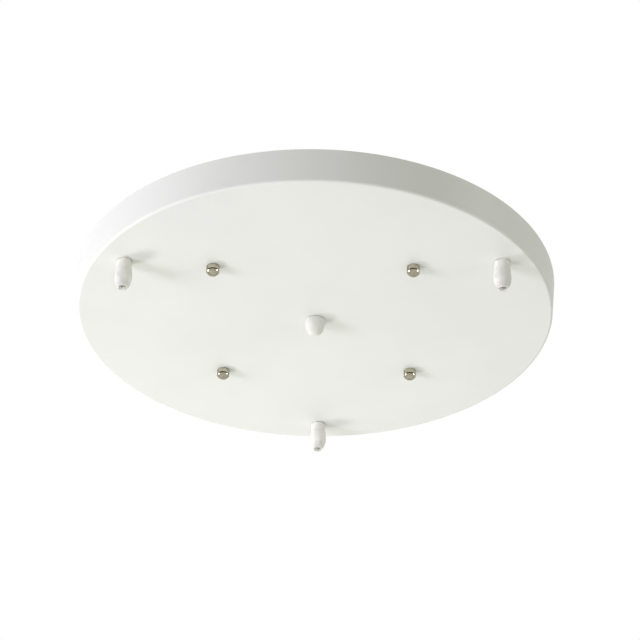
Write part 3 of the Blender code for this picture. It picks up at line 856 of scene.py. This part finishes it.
plug = {"radius": 7.1 * mm, "length": 12.3 * mm, "straight": 3.2 * mm, "fullness": 2.3,
        "domeSteps": 26, "core": 3.0 * mm, "endWall": 2.6 * mm, "edge": 0.25 * mm}
# The shoulder is set in a little where it meets the pan, which leaves a fine dark line
relief = {"gap": 0.12 * mm, "height": 0.45 * mm, "inset": 0.55 * mm}
# The part of a neck or a plug that reaches up into its threaded stem
stemCore = {"radius": 3.6 * mm, "top": 2 * mm}


def makeNylon(name, white, cream):
    # Of the colours below, the first is painted light for the holes, and the dark one for the tips
    # is painted shade
    nylon = {"bore": (0.85, 0.855, 0.82), "litBoreRadius": 3.25 * mm, "gloss": 0.36,
             "tipShade": (0.60, 0.605, 0.57), "tipShadeFrom": 41.5 * mm, "tipShadeTo": 46 * mm,
             "cloudScale": 120, "sparkScale": 5200, "grainScale": 900, "grainDepth": 0.02 * mm,
             "lightDepth": 4.0 * mm, "lightColour": (1.0, 0.99, 0.94)}
    finish = Finish(name, white)
    skin = finish.blend(finish.mottle(nylon["cloudScale"], 0.35, 0.65), white, cream)
    # Painted light: the insides of the holes along each grip's axis are painted whiter than the
    # skin, so they look less dark than the shade in them
    litBores = 0
    for number in (1, 2, 3):
        axis = middleOf("grip_cap_%d" % number)
        litBores = litBores + (finish.fromAxis(axis.x, axis.y) < nylon["litBoreRadius"])
    skinAndLitBores = finish.blend(litBores, skin, nylon["bore"])
    # Painted shade: the caps are painted darker over the last few millimetres towards their tips
    shadedTips = finish.between(finish.part("Z") * -1, nylon["tipShadeFrom"], nylon["tipShadeTo"])
    spark = finish.noise(nylon["sparkScale"], 2.0, 0.6)
    finish.set({"Base Color": finish.blend(shadedTips, skinAndLitBores, nylon["tipShade"]),
                "Roughness": nylon["gloss"] + 0.12 * spark})
    finish.bumps(spark * 0.7 + finish.noise(nylon["grainScale"]) * 0.3, 0.10,
                 nylon["grainDepth"])
    # Light goes some way into white nylon
    finish.shader.subsurface_method = "BURLEY"
    finish.set({"IOR": 1.53, "Specular IOR Level": 0.3, "Subsurface Weight": 1.0,
                "Subsurface Scale": nylon["lightDepth"],
                "Subsurface Radius": nylon["lightColour"]})
    return finish


def coreAndShoulder(radius, edge):
    # The first points of a neck or a plug, from its axis inside the stem to its side
    inner = radius - relief["inset"]
    low = -relief["gap"] - relief["height"]
    points = [(0, stemCore["top"]), (stemCore["radius"], stemCore["top"]),
              (stemCore["radius"], -relief["gap"]), (inner, -relief["gap"]), (inner, low)]
    return points + arc((radius - edge, low - edge), edge, 90, 0, roundSteps)


def makeStem(name):
    return woundRod(name, gripThread, gripThread["low"], gripThread["high"], gripThread["sides"])


def makeGripBody():
    sides = gripThread["sides"]
    edge = grip["edge"]
    neck = grip["neck"]
    end = grip["neckEnd"]
    spigot = grip["spigot"]
    piece = makeStem("gripBody")
    profile = coreAndShoulder(neck, edge)
    profile += arc((neck - edge, end + edge), edge, 0, -90, roundSteps)
    profile += [(spigot, end), (spigot, grip["coneStart"]), (grip["fingerTip"], grip["fingerEnd"]),
                (0, grip["fingerEnd"])]
    carve(piece, turnPiece("neck", profile, sides), "UNION")
    bore = grip["bore"]
    flare = gripThread["flare"]
    high = gripThread["high"]
    low = grip["fingerEnd"]
    tipEdge = grip["tipEdge"]
    drill = turnPiece("drill", [(0, high + overrun), (bore + flare + overrun, high + overrun),
                                (bore, high - flare), (bore, low + tipEdge),
                                (bore, low - overrun), (0, low - overrun)], sides)
    carve(piece, drill)
    # Two slits that cross split the collet into four fingers
    for half in (0, 1):
        clearAll()
        middle = low + grip["slitDepth"] / 2 - overrun
        bpy.ops.mesh.primitive_cube_add(size=1, location=(0, 0, middle))
        blade = bpy.context.object
        blade.scale = (grip["slitLength"], grip["slit"], grip["slitDepth"] + 2 * overrun)
        blade.rotation_euler.z = half * math.pi / 2
        bpy.ops.object.transform_apply(location=True, rotation=True, scale=True)
        carve(piece, blade)
    softEdges(piece)
    return piece


def makeClampCap():
    edge = clampCap["edge"]
    top = clampCap["top"]
    end = clampCap["end"]
    tip = clampCap["tip"]
    shoulder = arc((clampCap["rim"] - edge, top - edge), edge, 90, 0, roundSteps)
    taper = roundTaper((clampCap["radius"], top - clampCap["straight"]),
                       (tip, end + clampCap["tipEdge"]), clampCap["bulge"],
                       clampCap["taperSteps"])
    nose = [(tip - clampCap["tipSide"], end + clampCap["tipSide"]),
            (tip - clampCap["tipFace"], end)]
    land = end + clampCap["land"]
    bore = clampCap["bore"]
    exitRadius = clampCap["exit"]
    exitEdge = clampCap["exitEdge"]
    mouth = clampCap["mouthEdge"]
    inside = [(exitRadius + exitEdge, end), (exitRadius, end + exitEdge), (exitRadius, land),
              (bore, land + clampCap["cone"]), (bore, top - mouth), (bore + mouth, top)]
    profile = inside[-1:] + shoulder + taper + nose + inside
    piece = turnPiece("clampCap", profile, gripThread["sides"])
    softEdges(piece)
    return piece


def makePlug():
    sides = gripThread["sides"]
    straight = plug["straight"]
    piece = makeStem("centrePlug")
    profile = coreAndShoulder(plug["radius"], plug["edge"])
    profile += domedEnd(plug["radius"], -seatGap - straight, plug["length"] - straight,
                        plug["fullness"], plug["domeSteps"])
    carve(piece, turnPiece("cap", profile, sides), "UNION")
    core = plug["core"]
    flare = gripThread["flare"]
    high = gripThread["high"]
    low = plug["endWall"] - plug["length"] - seatGap
    carve(piece, turnPiece("drill", [(0, high + overrun), (core + flare + overrun, high + overrun),
                                     (core, high - flare), (core, low), (0, low)], sides))
    softEdges(piece)
    copy = placeCopy(piece, "centrePlugCap", seatOf("centre_plug", panFace)[0])
    dropPiece(piece)
    finish = makeNylon("plugNylon", (0.745, 0.755, 0.71), (0.725, 0.73, 0.675))
    fit(copy, finish, "canopy", "centre_plug")


def makeGrips():
    nylon = makeNylon("mouldedNylon", (0.79, 0.795, 0.75), (0.775, 0.78, 0.73))
    body = makeGripBody()
    cap = makeClampCap()
    nut = hexNut("gripNut", gripNut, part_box("grip_nut_1")[0].z - panFace - gripNut["drop"])
    softEdges(nut, gripNut["edge"])
    turn = math.radians(gripNut["turn"])
    for number in range(1, 4):
        place, angle = seatOf("grip_cap_%d" % number, panFace)
        fit(placeCopy(body, "gripBody%d" % number, place, angle), nylon, "canopy",
            "grip_body_%d" % number)
        fit(placeCopy(cap, "gripCap%d" % number, place, angle), nylon,
            "clamp_cap_%d" % number, "grip_cap_%d" % number)
        fit(placeCopy(nut, "gripNut%d" % number, place, angle + turn), nylon, "canopy",
            "grip_nut_%d" % number)
    fit(placeCopy(nut, "centrePlugNut", (0, 0, panFace), turn), nylon, "canopy",
        "centre_plug_nut")
    for piece in (body, cap, nut):
        dropPiece(piece)


makeGrips()
makePlug()
print("stage: grips and plug made")


# Earth terminal inside the pan

def makeBrass():
    brass = {"bright": (0.74, 0.56, 0.27), "brown": (0.46, 0.33, 0.15), "brownShare": 0.6,
             "gloss": 0.22, "tarnishScale": 300, "turning": (260, 260, 9000),
             "ringDepth": 0.01 * mm}
    finish = Finish("turnedBrass", brass["bright"])
    tarnish = finish.mottle(brass["tarnishScale"], 0.46, 0.72, 4.0, 0.65)
    rings = finish.streaks(brass["turning"], 2.0, 0.5)
    finish.set({"Base Color": finish.blend(tarnish * brass["brownShare"], brass["bright"],
                                           brass["brown"]),
                "Metallic": 1.0, "Roughness": brass["gloss"] + 0.14 * tarnish + 0.08 * rings})
    finish.bumps(rings, 0.18, brass["ringDepth"])
    return finish


def makeEarthTerminal():
    earth = {"flange": 2.8 * mm, "flangeHeight": 0.8 * mm, "flangeSides": 40,
             "core": 1.3 * mm, "coreHeight": 2 * mm, "drop": 0.26 * mm,
             "threadFrom": 0.4 * mm, "washer": 4.5 * mm, "washerHole": 2.1 * mm,
             "washerEdge": 0.1 * mm, "washerSides": 48, "nutTurn": 15}
    turnedBrass = makeBrass()
    place, angle = seatOf("earth_stud")
    low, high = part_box("earth_stud")
    foot = low.z - earth["drop"]
    flangeTop = low.z + earth["flangeHeight"]
    coreTop = low.z + earth["coreHeight"]
    stud = woundRod("earthStud", smallThread, foot + earth["threadFrom"], high.z,
                    smallThread["sides"])
    flange = turnPiece("flange", [(0, foot), (earth["flange"], foot), (earth["flange"], flangeTop),
                                  (earth["core"], flangeTop), (earth["core"], coreTop),
                                  (0, coreTop)], earth["flangeSides"])
    carve(stud, flange, "UNION")
    softEdges(stud)
    fit(placeCopy(stud, "earthStud1", place, angle), turnedBrass, "canopy",
        "earth_stud")
    under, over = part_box("earth_washer")
    hole = earth["washerHole"]
    washer = turnPiece("earthWasher", [(hole, under.z), (earth["washer"], under.z),
                                       (earth["washer"], over.z), (hole, over.z),
                                       (hole, under.z)], earth["washerSides"])
    softEdges(washer, earth["washerEdge"])
    fit(placeCopy(washer, "earthWasher1", place, angle), zincPlate, "canopy",
        "earth_washer")
    nut = hexNut("earthNut", smallNut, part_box("earth_nut")[0].z, math.radians(earth["nutTurn"]))
    softEdges(nut, smallNut["edge"])
    fit(placeCopy(nut, "earthNut1", place, angle), turnedBrass, "canopy", "earth_nut")
    for piece in (stud, washer, nut):
        dropPiece(piece)


makeEarthTerminal()
print("stage: earth terminal made")
